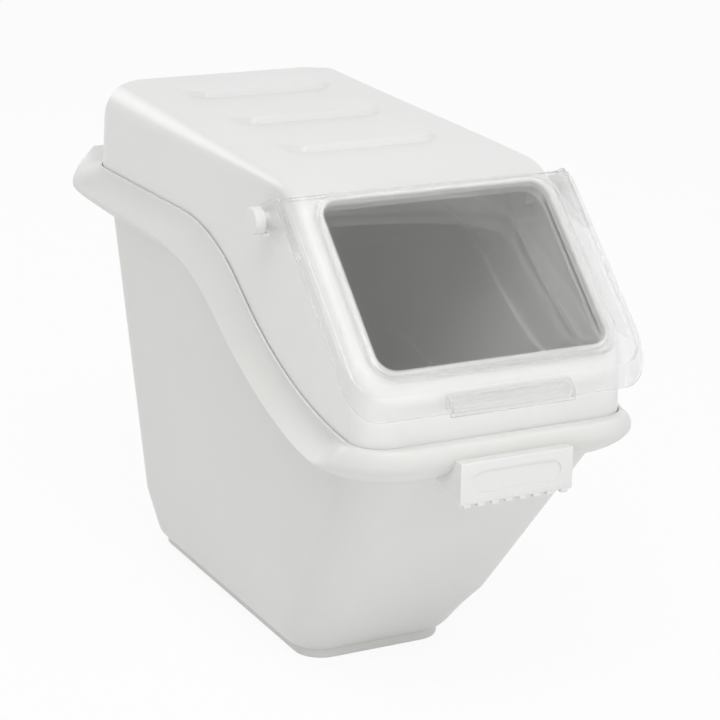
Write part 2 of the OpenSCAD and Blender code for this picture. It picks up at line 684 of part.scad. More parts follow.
module behind_front_line() {
    rotate([90, 0, 90])
        translate([0, 0, -grip_half_w - 1])
            linear_extrude(2 * grip_half_w + 2)
                polygon(concat(front_line, [[0, rim_front_z], [0, front_line[0].y]]));
}

module front_grip() {
    back = shoulder_front + 20;
    cheek = [[grip_front, grip_low_z], [grip_front, grip_top_z], [back, grip_top_z],
             [back, grip_low_z + 16], [shoulder_front, grip_low_z + 9]];
    color("white")
    centred()
    difference() {
        union() {
            translate([-grip_half_w, grip_front, grip_low_z])
                cube([2 * grip_half_w, grip_wall, grip_face_h]);
            rotate([90, 0, 90])
                for (x = [-grip_half_w, grip_half_w - grip_wall])
                    translate([0, 0, x]) linear_extrude(grip_wall) polygon(cheek);
            for (k = [0 : tooth_count - 1])
                translate([-grip_half_w + grip_wall + k * tooth_pitch, grip_front, grip_low_z - tooth_h + 1])
                    cube([tooth_w, 2 * grip_wall, tooth_h]);
        }
        behind_front_line();
        translate([0, grip_front + recess_depth, grip_low_z + grip_face_h / 2 - recess_h / 2])
            rotate([90, 0, 0])
                linear_extrude(10)
                    polygon(pill(recess_half_w, 0, recess_h, recess_h / 2 - eps));
    }
}

tub();
front_grip();
hood();
flip_lid();
hinge_pin_left();
hinge_pin_right();
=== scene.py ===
# %% [markdown]
# # A counter-top ingredient bin
# The bin is five kinds of moulding: a deep tub with a swept rolled rim, a lift-off hood, a clear
# lid, the two pegs it turns on, and a small finger grip under the front of the rim.
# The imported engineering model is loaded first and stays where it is. It could be shown as it is,
# but its facets would break up the long highlights. So each moulding is made again at a finer
# resolution from the same sizes and the same curves, and the soft radii of blow-moulded and
# injected plastic catch the light as one smooth surface.

# %% Load the fixed frame
import math

import bmesh
import bpy
import numpy as np
from mathutils import Matrix, Vector


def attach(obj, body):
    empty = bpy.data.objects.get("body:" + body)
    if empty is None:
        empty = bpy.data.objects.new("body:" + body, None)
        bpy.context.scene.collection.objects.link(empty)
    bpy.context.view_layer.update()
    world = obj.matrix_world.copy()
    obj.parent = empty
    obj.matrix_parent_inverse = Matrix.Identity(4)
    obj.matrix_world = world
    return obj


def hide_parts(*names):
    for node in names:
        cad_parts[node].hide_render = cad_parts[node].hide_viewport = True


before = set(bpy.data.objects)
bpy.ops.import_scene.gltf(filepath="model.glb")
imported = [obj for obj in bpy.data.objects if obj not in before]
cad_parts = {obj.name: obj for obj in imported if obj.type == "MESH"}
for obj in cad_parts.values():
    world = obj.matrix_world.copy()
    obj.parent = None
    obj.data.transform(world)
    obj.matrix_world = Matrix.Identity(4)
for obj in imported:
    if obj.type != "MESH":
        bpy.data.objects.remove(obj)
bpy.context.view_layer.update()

# %% [markdown]
# The camera comes next. Its place was worked out from the photograph: the bin is seen 27 degrees
# from its front, from 17 degrees above, with a long lens, and the picture leans by one degree.
# A short lens close by would show as much of the bin, but a long one keeps its sides nearly
# parallel, which is how catalogue pictures are taken.

# %% Camera at the photograph's angle
def add_object(name, data):
    """A new object at the origin, linked to the scene."""
    made = bpy.data.objects.new(name, data)
    bpy.context.scene.collection.objects.link(made)
    return made


def aimed(place, target):
    """Where a camera or lamp stands, turned so that it looks at its target."""
    place, target = Vector(place), Vector(target)
    turn = (target - place).to_track_quat("-Z", "Y").to_matrix().to_4x4()
    return Matrix.Translation(place) @ turn


camera_place, camera_target = (-0.8542, -1.7030, 0.8154), (-0.0122, -0.0715, 0.2471)
lens_mm, sensor_mm, lean = 119.88, 36.0, math.radians(1.0)

camera_data = bpy.data.cameras.new("camera")
camera_data.lens = lens_mm
camera_data.sensor_width = sensor_mm
camera_data.clip_end = 50.0
camera = add_object("camera", camera_data)
camera.matrix_world = aimed(camera_place, camera_target) @ Matrix.Rotation(lean, 4, "Z")
bpy.context.scene.camera = camera
print("camera looks from", [round(c, 3) for c in camera_place])

# %% [markdown]
# Materials could be put together by hand in the shader editor. Here one small function adds a
# node, sets its values and links it, so that a whole finish can be read from top to bottom.
# Colours are written as the hex values a designer would read off a sample, and one function
# turns them into the linear values that the renderer mixes.

# %% Colour and node helpers
def paint(hex_code):
    """An sRGB hex colour as linear RGBA."""
    parts = [int(hex_code[i:i + 2], 16) / 255 for i in (1, 3, 5)]
    linear = [c / 12.92 if c <= 0.04045 else ((c + 0.055) / 1.055) ** 2.4 for c in parts]
    return (*linear, 1.0)


def add_node(tree, kind, settings=None, inputs=None):
    """Adds one node. An input is a value, or a (node, output name) pair to link from."""
    node = tree.nodes.new(kind)
    for key, value in (settings or {}).items():
        setattr(node, key, value)
    for key, value in (inputs or {}).items():
        if isinstance(value, tuple) and isinstance(value[0], bpy.types.Node):
            tree.links.new(value[0].outputs[value[1]], node.inputs[key])
        else:
            node.inputs[key].default_value = value
    return node


def blank_material(name):
    """A material with no nodes yet, and the tree that they go into."""
    material = bpy.data.materials.new(name)
    material.use_nodes = True
    material.node_tree.nodes.clear()
    return material, material.node_tree


print("a mid grey of #808080 is", round(paint("#808080")[0], 3), "linear")

# %% [markdown]
# The tub and hood are polyethylene, a milky plastic. Light goes a few millimetres into it
# before it comes back out, which softens the shade at every edge. A plain surface would look
# painted, so the shader gets a little subsurface scattering. The mould leaves a fine orange-peel
# texture about 1 mm across, hundredths of a millimetre deep. The wall also has slow waves where
# it cooled unevenly, a few tenths deep, and faint changes of tone and gloss.

# %% Moulded polyethylene
tint_waves, scuff_waves, sink_waves = 7.0, 60.0, 14.0  # waves in a metre: 140, 17 and 70 mm each
peel_waves = 1000.0 / 1.1  # orange peel, 1.1 mm across
peel_depth, sink_depth, scatter_depth = 0.00002, 0.0009, 0.006  # metres
polyethylene_ior = 1.5


def moulded_polyethylene(name, light, shade, roughness, milkiness):
    """Milky plastic that drifts between two close tones."""
    material, tree = blank_material(name)
    place = add_node(tree, "ShaderNodeTexCoord")
    drift = add_node(tree, "ShaderNodeTexNoise", inputs={
        "Vector": (place, "Object"), "Scale": tint_waves, "Detail": 2.0})
    tint = add_node(tree, "ShaderNodeMix", {"data_type": "RGBA"}, {
        "Factor": (drift, "Fac"), "A": paint(light), "B": paint(shade)})
    scuff = add_node(tree, "ShaderNodeTexNoise", inputs={
        "Vector": (place, "Object"), "Scale": scuff_waves, "Detail": 3.0})
    gloss = add_node(tree, "ShaderNodeMapRange", inputs={
        "Value": (scuff, "Fac"), "To Min": roughness - 0.05, "To Max": roughness + 0.06})
    peel = add_node(tree, "ShaderNodeTexNoise", inputs={
        "Vector": (place, "Object"), "Scale": peel_waves, "Detail": 1.0})
    fine = add_node(tree, "ShaderNodeBump", inputs={
        "Height": (peel, "Fac"), "Distance": peel_depth, "Strength": 0.5})
    sink = add_node(tree, "ShaderNodeTexNoise", inputs={
        "Vector": (place, "Object"), "Scale": sink_waves, "Detail": 1.0})
    wave = add_node(tree, "ShaderNodeBump", inputs={
        "Height": (sink, "Fac"), "Distance": sink_depth, "Strength": 0.35,
        "Normal": (fine, "Normal")})
    plastic = add_node(tree, "ShaderNodeBsdfPrincipled", inputs={
        "Base Color": (tint, "Result"), "Roughness": (gloss, "Result"),
        "Normal": (wave, "Normal"), "IOR": polyethylene_ior, "Subsurface Weight": milkiness,
        "Subsurface Radius": (1.0, 1.0, 1.0), "Subsurface Scale": scatter_depth})
    add_node(tree, "ShaderNodeOutputMaterial", inputs={"Surface": (plastic, "BSDF")})
    return material


tub_plastic = moulded_polyethylene(
    "natural_polyethylene_blow_moulded", "#E4E4E2", "#DEDEDB", roughness=0.4, milkiness=0.2)
white_plastic = moulded_polyethylene(
    "white_polyethylene_moulded", "#E9E9E8", "#E4E4E3", roughness=0.3, milkiness=0.12)
print("plastics:", tub_plastic.name, white_plastic.name)

# %% [markdown]
# The lid is clear polycarbonate from a polished mould. A thin wall like this hardly bends light:
# what the eye sees is the bin behind it, a little grey, and white reflections along its rolled
# edges. Plain glass would turn its steep walls black, because light is trapped in them. So half
# of a ray goes straight through or is mirrored, by how steeply it meets the wall, and the other
# half meets a glass-like surface. Rays that look for a lamp pass straight through, so that light
# reaches the inside of the bin.

# %% Clear polycarbonate
straight_through = 0.5  # the share of a ray that the wall doesn't bend
polycarbonate_ior = 1.45
flow_waves, ripple_depth = 20.0, 0.0002  # one wave in 50 mm, and its depth in metres
mirror_face_on, mirror_steep, steep_power = 0.06, 0.8, 5.0


def clear_polycarbonate():
    material, tree = blank_material("clear_polycarbonate_polished")
    place = add_node(tree, "ShaderNodeTexCoord")
    flow = add_node(tree, "ShaderNodeTexNoise", inputs={
        "Vector": (place, "Object"), "Scale": flow_waves, "Detail": 1.0})
    ripple = add_node(tree, "ShaderNodeBump", inputs={
        "Height": (flow, "Fac"), "Distance": ripple_depth, "Strength": 0.12})
    haze = add_node(tree, "ShaderNodeMapRange", inputs={
        "Value": (flow, "Fac"), "To Min": 0.03, "To Max": 0.08})
    bent = add_node(tree, "ShaderNodeBsdfPrincipled", inputs={
        "Base Color": paint("#FDFDFD"), "Roughness": (haze, "Result"),
        "Normal": (ripple, "Normal"), "IOR": polycarbonate_ior, "Transmission Weight": 1.0})
    clean = add_node(tree, "ShaderNodeBsdfTransparent", inputs={"Color": paint("#F5F5F5")})
    gleam = add_node(tree, "ShaderNodeBsdfGlossy", inputs={
        "Color": paint("#FFFFFF"), "Roughness": (haze, "Result"), "Normal": (ripple, "Normal")})
    ray = add_node(tree, "ShaderNodeLightPath")
    facing = add_node(tree, "ShaderNodeLayerWeight", inputs={"Blend": 0.5})
    steep = add_node(tree, "ShaderNodeMath", {"operation": "POWER"}, {
        0: (facing, "Facing"), 1: steep_power})
    gloss = add_node(tree, "ShaderNodeMapRange", inputs={
        "Value": (steep, "Value"), "To Min": mirror_face_on, "To Max": mirror_steep})
    unlit = add_node(tree, "ShaderNodeMath", {"operation": "SUBTRACT"}, {
        0: 1.0, 1: (ray, "Is Shadow Ray")})
    mirror = add_node(tree, "ShaderNodeMath", {"operation": "MULTIPLY"}, {
        0: (gloss, "Result"), 1: (unlit, "Value")})
    through = add_node(tree, "ShaderNodeMixShader", inputs={
        0: (mirror, "Value"), 1: (clean, "BSDF"), 2: (gleam, "BSDF")})
    share = add_node(tree, "ShaderNodeMapRange", inputs={
        "Value": (ray, "Is Shadow Ray"), "To Min": straight_through, "To Max": 1.0})
    wall = add_node(tree, "ShaderNodeMixShader", inputs={
        0: (share, "Result"), 1: (bent, "BSDF"), 2: (through, "Shader")})
    add_node(tree, "ShaderNodeOutputMaterial", inputs={"Surface": (wall, "Shader")})
    return material


clear_plastic = clear_polycarbonate()
print("clear plastic:", clear_plastic.name, "lets", straight_through, "of a ray straight through")

# %% [markdown]
# These are the sizes that the engineering model uses, in millimetres. Keeping them in one place
# means that a curve in this file and the solid it covers can't drift apart. They are measured from
# the foot's own middle, and every mesh is moved by one last value to the middle of the whole bin.

# %% Sizes in millimetres: tub and rim
foot_half_w, foot_front, foot_rear, foot_band, foot_corner = 65, -84, 228, 9, 24
belly_z, belly_half_w, belly_front, belly_rear = 58, 87.5, -132, 232
belly_corner, belly_round, side_draft, tub_wall = 36, 8, 0.112, 3
shoulder_front, shoulder_rear, shoulder_corner = -259, 237, 42
rim_front_z, rim_rear_z, ramp_slope, ramp_middle = 248, 355, math.radians(35), -84
front_sweep_r, rear_sweep_r = 334, 177
band_front, band_side, band_rear, band_half_w, band_half_w_rear = 32, 46, 41, 126, 125
nose_corner, bead_rise, nose_front, lip_rear, lip_corner = 50, 5, -287, 305, 30
rim_edge, ledge_depth, ledge_inset = 2, 8, 4
print("rim rises from", rim_front_z, "to", rim_rear_z, "mm")

# %% Sizes in millimetres: hood and opening
hood_half_w_front, hood_half_w_rear, hood_front, hood_rear = 113, 118, -271, 254
hood_corner_front, hood_corner_rear, top_front_z, top_rise = 26, 37, 414, math.radians(2.3)
brow_r, top_edge_r, slope_edge_r, rear_edge_r = 60, 22, 9, 32
hood_draft, hood_wall, hood_clear, seat_gap = 2.5, 3, 0.5, 0.1
tread_count, tread_first, tread_pitch, tread_length = 3, -54, 97, 64
tread_half_w, tread_rise, tread_corner, tread_run, tread_fade = 70, 4.5, 26, 5, 1.5
mouth_slope, mouth_y, mouth_z, mouth_top_drop = math.radians(44), -267, 307, 5.8
mouth_length = (top_front_z - mouth_top_drop - mouth_z) / math.sin(mouth_slope)
mouth_half_w, mouth_corner, face_depth = 96, 14, 12
collar_wall, collar_rise, collar_drop = 3, 7, 7
print("opening:", 2 * mouth_half_w, "by", round(mouth_length, 1), "mm")

# %% Sizes in millimetres: lid, pegs and grip
lid_wall, pane_half_w, pane_margin, pane_top_margin, pane_corner = 2.5, 105, 10, 6, 22
flange_step, flange_half_w, flange_front, flange_corner, flange_rear_corner = 5, 121, 22, 24, 6
skirt_h, skirt_side, skirt_flare = 16.5, 5, 6
tab_half_w, tab_reach, tab_fall, tab_h = 52, 9, 8, 9
hinge_y, hinge_z, pin_d, pin_head_d, pin_head_l = -122, 386, 12, 21, 9
pin_clear, ear_side_gap, ear_t, ear_d, ear_root = 0.5, 0.4, 3, 24, 104
socket_depth, socket_wall = 9, 3.5
grip_half_w, grip_front, grip_low_z, grip_face_h, grip_wall = 47, -296, 206, 32, 3
tooth_count, tooth_w, tooth_h, recess_half_w, recess_h, recess_depth = 8, 6, 4, 37, 17, 0.8
middle = -(grip_front + lip_rear) / 2
print("hinge axis:", -hinge_y, "mm in front of the foot's middle,", hinge_z, "mm up")

# %% [markdown]
# The rim is the bin's signature line. Seen from the side it runs level along the front, climbs a
# 35 degree ramp and runs level again round the back. It could be a curve drawn by hand, but the
# hood, the ledge and the walls all take their height from it. So it is worked out at any place
# from three straight runs and two arcs, each tangent to its neighbours, and has no kink.

# %% The swept rim and the hood's roof line
def mix(a, b, t):
    return a + (b - a) * t


def ease(t):
    """0 up to 0, 1 from 1 on, and a smooth S between them."""
    c = np.clip(t, 0, 1)
    return c * c * (3 - 2 * c)


def arc(radius, away):
    """Height of an arc over its centre, at a level distance away from that centre."""
    return np.sqrt(np.maximum(0, radius ** 2 - away ** 2))


rim_mid_z = (rim_front_z + rim_rear_z) / 2
ramp_front_y = ramp_middle - (rim_mid_z - rim_front_z) / math.tan(ramp_slope)
ramp_rear_y = ramp_middle + (rim_rear_z - rim_mid_z) / math.tan(ramp_slope)
front_tan = front_sweep_r * math.tan(ramp_slope / 2)
rear_tan = rear_sweep_r * math.tan(ramp_slope / 2)


def rim_z(y):
    """Height of the seam between rim and hood."""
    y = np.asarray(y, float)
    low = rim_front_z + front_sweep_r - arc(front_sweep_r, y - ramp_front_y + front_tan)
    high = rim_rear_z - rear_sweep_r + arc(rear_sweep_r, ramp_rear_y + rear_tan - y)
    ramp = rim_mid_z + (y - ramp_middle) * math.tan(ramp_slope)
    bounds = (ramp_front_y - front_tan, ramp_front_y + front_tan * math.cos(ramp_slope),
              ramp_rear_y - rear_tan * math.cos(ramp_slope), ramp_rear_y + rear_tan)
    return np.select([y < b for b in bounds], [rim_front_z, low, ramp, high], rim_rear_z)


face_y0 = mouth_y + face_depth * math.sin(mouth_slope)
face_z0 = mouth_z - face_depth * math.cos(mouth_slope)
brow_y = (top_front_z - face_z0 + face_y0 * math.tan(mouth_slope)) / math.tan(mouth_slope)
brow_tan = brow_r * math.tan((mouth_slope - top_rise) / 2)
brow_cy = brow_y + brow_tan * math.cos(top_rise) + brow_r * math.sin(top_rise)
brow_cz = top_front_z + brow_tan * math.sin(top_rise) - brow_r * math.cos(top_rise)


def top_z(y):
    """Height of the hood's top line: sloping face, rounded brow and roof."""
    y = np.asarray(y, float)
    slope = face_z0 + (y - face_y0) * math.tan(mouth_slope)
    brow = brow_cz + arc(brow_r, y - brow_cy)
    roof_line = top_front_z + (y - brow_y) * math.tan(top_rise)
    bounds = brow_y - brow_tan * math.cos(mouth_slope), brow_y + brow_tan * math.cos(top_rise)
    return np.select([y < b for b in bounds], [slope, brow], roof_line)


def hood_half_w(y):
    along = ease((y - shoulder_front) / (shoulder_rear - shoulder_front))
    return mix(hood_half_w_front, hood_half_w_rear, along)


def body_half_w(z):
    return belly_half_w + (z - belly_z) * side_draft


def band_h(y):
    """Height of the rolled band under the seam."""
    front = mix(band_front, band_side, ease((y - hood_front) / (ramp_front_y - hood_front)))
    return mix(front, band_rear, ease((y - ramp_middle) / (shoulder_rear - ramp_middle)))


print("seam height at the middle of the bin:", round(float(rim_z(0)), 1), "mm")

# %% [markdown]
# Boxes with bevelled edges can't follow the swept rim, and a subdivided cage would pull away from
# the solids. So every moulding is a stack of closed rings. A ring is a rectangle with rounded
# corners, walked from the front up the left side to the back, and its right half is the left half
# mirrored. Two neighbouring rings are joined by four-sided faces, like the staves of a barrel.

# %% Rings and skins
arc_points, side_points = 15, 190
straight_front, straight_rear = hood_front + hood_corner_front, hood_rear - hood_corner_rear
side_share = np.linspace(straight_front + 2, straight_rear - 2, side_points)
side_share = (side_share - straight_front) / (straight_rear - straight_front)
corner = np.radians(np.linspace(0, 90, arc_points))


def walk(share, front, rear, rf, rr):
    """Left half of a rounded rectangle: y, and how far each point lies inside the full width.
    The front and rear corners have radius rf and rr, and share spaces the straight side."""
    y = np.concatenate([front + rf * (1 - np.cos(corner)), mix(front + rf, rear - rr, share),
                        rear - rr + rr * np.sin(corner)])
    inside = np.concatenate([rf * (1 - np.sin(corner)), 0 * share, rr * (1 - np.cos(corner))])
    return y, inside


def rear_turn(share):
    """How far each point of a left half has gone round its rear corner, from 0 to 1."""
    return np.concatenate([0 * corner, 0 * share, 1 - np.cos(corner)])


def ring(x, y, z):
    """The closed ring of a left half: x is negative there, and the right half mirrors it."""
    left = np.stack(np.broadcast_arrays(x, y, z), 1)
    right = left[::-1] * (-1, 1, 1)
    return np.concatenate([left, right])


def skin(rings, closed=False):
    """Four-sided faces between rings of the same length."""
    n = len(rings[0])
    last = len(rings) if closed else len(rings) - 1
    faces = []
    for k in range(last):
        a, b = k * n, ((k + 1) % len(rings)) * n
        faces += [(a + i, b + i, b + (i + 1) % n, a + (i + 1) % n) for i in range(n)]
    return faces


def capped(rings):
    """A skin whose first and last rings are each closed by one face."""
    n, last = len(rings[0]), (len(rings) - 1) * len(rings[0])
    return skin(rings) + [tuple(range(n)), tuple(range(last + n - 1, last - 1, -1))]


print("points in one ring:", 2 * (2 * arc_points + side_points))

# %% [markdown]
# Points and faces become a mesh through one function. It merges points that lie on each other,
# turns the faces outwards and shades the mesh smooth, except across edges sharper than an angle.

# %% From points to a piece
merge_distance = 1e-7


def soften(piece, angle):
    """Smooth shading, with edges sharper than the angle left crisp."""
    piece.data.shade_smooth()
    piece.data.set_sharp_from_angle(angle=math.radians(angle))


def make_mesh(name, points, faces, material, soft_angle=30):
    """A mesh object at the origin from points in millimetres."""
    mesh = bpy.data.meshes.new(name)
    mesh.from_pydata([tuple(p) for p in (np.asarray(points) + (0, middle, 0)) * 0.001], [], faces)
    mesh.validate()
    work = bmesh.new()
    work.from_mesh(mesh)
    bmesh.ops.remove_doubles(work, verts=work.verts, dist=merge_distance)
    bmesh.ops.recalc_face_normals(work, faces=work.faces)
    work.to_mesh(mesh)
    work.free()
    mesh.materials.append(material)
    piece = add_object(name, mesh)
    soften(piece, soft_angle)
    return piece


print("every mesh moves", middle, "mm to the middle of the whole bin")

# %% [markdown]
# The tub's rolled band changes its section as it goes round. In front it is a bull nose with a
# small bead. Along the sides it swells out to a ridge and then falls back in a hollow channel up
# to the seam. Round the rear corners it climbs to the seam's level as a deep lip to lift the bin
# by. Three swept profiles would leave joints between them. One bulge function gives all three,
# and its numbers are blended with the place along the bin.

# %% The rolled band
nose_run, lip_run = hood_corner_front + 40, 1.8 * hood_corner_rear
side_peak, front_peak = 0.3, 0.84
side_climb = 1.5
full_powers, hollow_powers = (1.2, 2.2, 1.8), (2.2, 0.55, 0.9)  # side, front and rear


def front_share(y):
    return 1 - ease((y - nose_front) / nose_run)


def rear_share(y):
    return ease((y - hood_rear + lip_run) / lip_run)


def bulge(u, y):
    """How far the band stands out, and the share of its height where it stands out most."""
    front, rear = front_share(y), rear_share(y)
    full, hollow = [mix(mix(side, nose, front), lip, rear)
                    for side, nose, lip in (full_powers, hollow_powers)]
    peak = mix(side_peak, front_peak, front)
    climb = np.minimum(u / peak, 1)
    rise = mix(np.sin(np.pi / 2 * climb) ** side_climb, 1 - (1 - climb) ** 2,
               np.maximum(front, rear))
    fall = np.maximum(0, 1 - np.clip((u - peak) / (1 - peak), 0, 1) ** full) ** hollow
    return np.where(u <= peak, rise, fall), peak


def band_ring(u):
    """One ring of the band: u is 0 at its lower edge and 1 at the seam."""
    y_low, in_low = walk(side_share, shoulder_front, shoulder_rear, shoulder_corner,
                         shoulder_corner)
    y_seam, in_seam = walk(side_share, hood_front - rim_edge, hood_rear + rim_edge,
                           hood_corner_front + rim_edge, hood_corner_rear + rim_edge)
    y_nose, in_nose = walk(side_share, nose_front, lip_rear, nose_corner, lip_corner)
    out, peak = bulge(u, y_seam)
    z = mix(rim_z(y_low) - band_h(y_low), rim_z(y_seam), u)
    z = mix(z, rim_z(y_seam), out * rear_turn(side_share))
    bead = np.sin(math.pi * np.maximum(0, u - peak) / (1 - peak))
    z = z + bead_rise * front_share(y_seam) * bead
    x_low = body_half_w(rim_z(y_low) - band_h(y_low)) - in_low
    x_seam = hood_half_w(y_seam) + hood_clear + rim_edge - in_seam
    up_ramp = ease((y_seam - ramp_middle) / (ramp_rear_y - ramp_middle))
    x_nose = mix(band_half_w, band_half_w_rear, up_ramp) - in_nose
    return ring(-mix(mix(x_low, x_seam, u), x_nose, out),
                mix(mix(y_low, y_seam, u), y_nose, out), z)


def seam_ring(out, rise):
    """A ring beside the hood's outline, some way out from it and above the seam."""
    y, inside = walk(side_share, hood_front - out, hood_rear + out, hood_corner_front + out,
                     hood_corner_rear + out)
    return ring(-(hood_half_w(y) + out) + inside, y, rim_z(y) + rise)


beside_seam = [round(float(bulge(u, np.zeros(1))[0][0]), 2) for u in (0.1, 0.3, 0.6)]
print("the band stands out", beside_seam, "of its depth beside the seam")

# %% [markdown]
# The tub stands on a narrow foot and swells into its walls through a rounded bottom edge. The
# front wall leans forward, so that a hand can reach down to the tub's floor. The real tub is
# blown as a thin wall. Thickening a single sheet would bunch up at the ledge, so the rings go up
# the outside, over the rim and down the inside again.

# %% The tub
least_corner, foot_step = 2, 1
swell, rake_swell = 0.7, 0.15  # how round the bottom edge is at the sides, and at the raked front


def foot_ring(z, inset):
    r = max(least_corner, foot_corner - inset)
    y, inside = walk(side_share, foot_front + inset, foot_rear - inset, r, r)
    return ring(-(foot_half_w - inset) + inside, y, z)


def belly_ring(angle, inset):
    """A ring of the bottom edge: 0 degrees at the foot, 90 where the walls start."""
    s, c = math.sin(math.radians(angle)), 1 - math.cos(math.radians(angle))
    half = mix(foot_half_w + foot_step, belly_half_w, mix(c, s, swell)) - inset
    front = mix(foot_front - foot_step, belly_front, mix(c, s, rake_swell)) + inset
    rear = mix(foot_rear + foot_step, belly_rear, mix(c, s, swell)) - inset
    r = mix(foot_corner, belly_corner, s) + belly_round * math.sin(math.pi * c) - inset
    r = max(least_corner, r)
    y, inside = walk(side_share, front, rear, r, r)
    return ring(-half + inside, y, mix(foot_band, belly_z, c))


def body_ring(t, inset):
    """A ring of the walls: t is 0 at the belly and 1 at the band's lower edge."""
    r_low, r_top = [max(least_corner, r - inset) for r in (belly_corner, shoulder_corner)]
    y_top, in_top = walk(side_share, shoulder_front + inset, shoulder_rear - inset, r_top, r_top)
    z_top = rim_z(y_top) - band_h(y_top)
    y_low, in_low = walk(side_share, belly_front + inset, belly_rear - inset, r_low, r_low)
    return ring(mix(-(belly_half_w - inset) + in_low, -(body_half_w(z_top) - inset) + in_top, t),
                mix(y_low, y_top, t), mix(belly_z, z_top, t))


def make_tub():
    floor_z = tub_wall + 1
    band_shares = np.concatenate([np.linspace(0.02, 0.3, 15), np.linspace(0.32, 0.84, 20),
                                  np.linspace(0.855, 1, 12)])
    rings = [foot_ring(z, inset) for z, inset in
             ((0, 1.5), (0.4, 0.6), (1.2, 0.1), (2, 0), (foot_band, 0))]
    rings += [belly_ring(angle, 0) for angle in np.linspace(6, 84, 14)]
    rings += [body_ring(t, 0) for t in (0, 0.05, 0.25, 0.5, 0.75, 0.95, 1)]
    rings += [band_ring(u) for u in band_shares]
    rings += [seam_ring(hood_clear + 0.3, 0), seam_ring(hood_clear, -0.4),
              seam_ring(hood_clear, -ledge_depth),
              seam_ring(-hood_wall - ledge_inset, -ledge_depth)]
    rings += [body_ring(t, tub_wall) for t in (0.97, 0.5, 0)]
    rings += [belly_ring(angle, tub_wall) for angle in np.linspace(84, 6, 8)]
    rings += [foot_ring(floor_z, floor_z)]
    return make_mesh("tub_body", np.concatenate(rings), capped(rings), tub_plastic, 40)


tub = make_tub()
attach(tub, "tub")
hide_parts("tub")
print("tub faces:", len(tub.data.polygons))

# %% [markdown]
# The hood is one white shell: a sloping face, a brow, and a roof with three shallow treads that
# stiffen it. Each tread rises steeply at its rounded front edge and fades into the roof behind.
# Separate raised plates would leave a crease all round, so the roof is a grid, and each of its
# points is raised by the height of the tread that it lies in.

# %% The hood's shell
crown_rear = hood_rear - rear_edge_r
least_edge, roof_columns, tread_limit = 1, 80, 0.97


def tread_at(x, y):
    """Height of the treads: a steep rounded front edge that fades out towards the rear."""
    height = np.zeros(np.broadcast(x, y).shape)
    for k in range(tread_count):
        d = y - (tread_first + k * tread_pitch)
        turn = np.clip(tread_corner - np.maximum(d, 0), 0, tread_corner)
        half = tread_half_w - (tread_corner - arc(tread_corner, turn))
        fade = np.clip((tread_length - d) / (tread_length - tread_run), 0, 1) ** tread_fade
        front, side = ease(d / tread_run), ease((half - abs(x)) / tread_run)
        height = np.maximum(height, tread_rise * front * fade * side)
    return height


def edge_r(y):
    """Radius of the hood's upper edge, which grows from the face to the rear."""
    along = ease((y - brow_y) / (straight_rear - brow_y))
    at_rear = ease((y - straight_rear) / (crown_rear - straight_rear))
    return mix(mix(slope_edge_r, top_edge_r, along), rear_edge_r, at_rear)


def crown_ring(angle, inset):
    """A ring of the hood's upper edge: 0 degrees on its sides, 90 on its top."""
    s, c = math.sin(math.radians(angle)), 1 - math.cos(math.radians(angle))
    ef, er = slope_edge_r - inset, rear_edge_r - inset
    rf = max(least_edge, hood_corner_front - inset - ef * c)
    rr = max(least_edge, hood_corner_rear - inset - er * c)
    y, inside = walk(side_share, hood_front + inset + ef * c, hood_rear - inset - er * c, rf, rr)
    e = np.maximum(least_edge, edge_r(y) - inset)
    drop = inset * np.sqrt(1 + (top_z(y + 0.5) - top_z(y - 0.5)) ** 2)
    x = -(hood_half_w(y) - hood_draft - inset - e * c) + inside
    return ring(x, y, top_z(y) - drop - e * (1 - s))


def roof(rim):
    """A grid across the top ring, with the treads raised on it."""
    across = np.linspace(-1, 1, roof_columns + 1)[1:-1]
    points, rows = [], []
    for left in rim[:len(rim) // 2]:
        x = -left[0] * across
        z = left[2] + tread_at(x, left[1]) * (abs(across) < tread_limit)
        rows.append([len(points) + i for i in range(len(x))])
        points += [(a, left[1], b) for a, b in zip(x, z)]
    return points, rows


def make_hood_shell():
    seat_rise = seat_gap - ledge_depth
    low, high = seam_ring(0, seat_rise), crown_ring(0, 0)
    rings = [crown_ring(angle, hood_wall) for angle in np.linspace(90, 0, 9)]
    rings += [seam_ring(-hood_wall, seat_rise), low]
    rings += [mix(low, high, t) for t in (0.1, 0.4, 0.7, 0.95)]
    rings += [crown_ring(angle, 0) for angle in np.linspace(0, 90, 13)]
    n = len(rings[0])
    half = n // 2
    points, faces = list(np.concatenate(rings)), skin(rings)
    for first, rim in ((0, rings[0]), ((len(rings) - 1) * n, rings[-1])):
        extra, rows = roof(rim)
        base = len(points)
        points += extra
        lines = [[first + j] + [base + i for i in rows[j]] + [first + n - 1 - j]
                 for j in range(half)]
        for a, b in zip(lines[1:-2], lines[2:-1]):
            faces += [(a[i], a[i + 1], b[i + 1], b[i]) for i in range(len(a) - 1)]
        faces += [(first, *lines[1], first + n - 1),
                  (first + half - 1, *lines[-2], first + n - half)]
    return make_mesh("hood_shell", points, faces, white_plastic)


hood = make_hood_shell()
print("hood faces before the opening is cut:", len(hood.data.polygons))

# %% [markdown]
# The opening is cut square to the sloping face, and so are the sockets for the two pegs. A real
# mould has a core for each, and a boolean does the same: it leaves the wall at its full thickness
# all round the cut. The helpers here make the straight and round solids that do the cutting.

# %% Straight and round solids, and how they cut
slope_frame = Matrix.Translation((0, mouth_y, mouth_z)) @ Matrix.Rotation(mouth_slope, 4, "X")
slope_np = np.array(slope_frame)
rod_sides, rod_edge_steps = 64, 6


def on_slope(points):
    """From the opening's own axes (across, up the slope, out of it) to the bin's."""
    points = np.asarray(points, float)
    return points @ slope_np[:3, :3].T + slope_np[:3, 3]


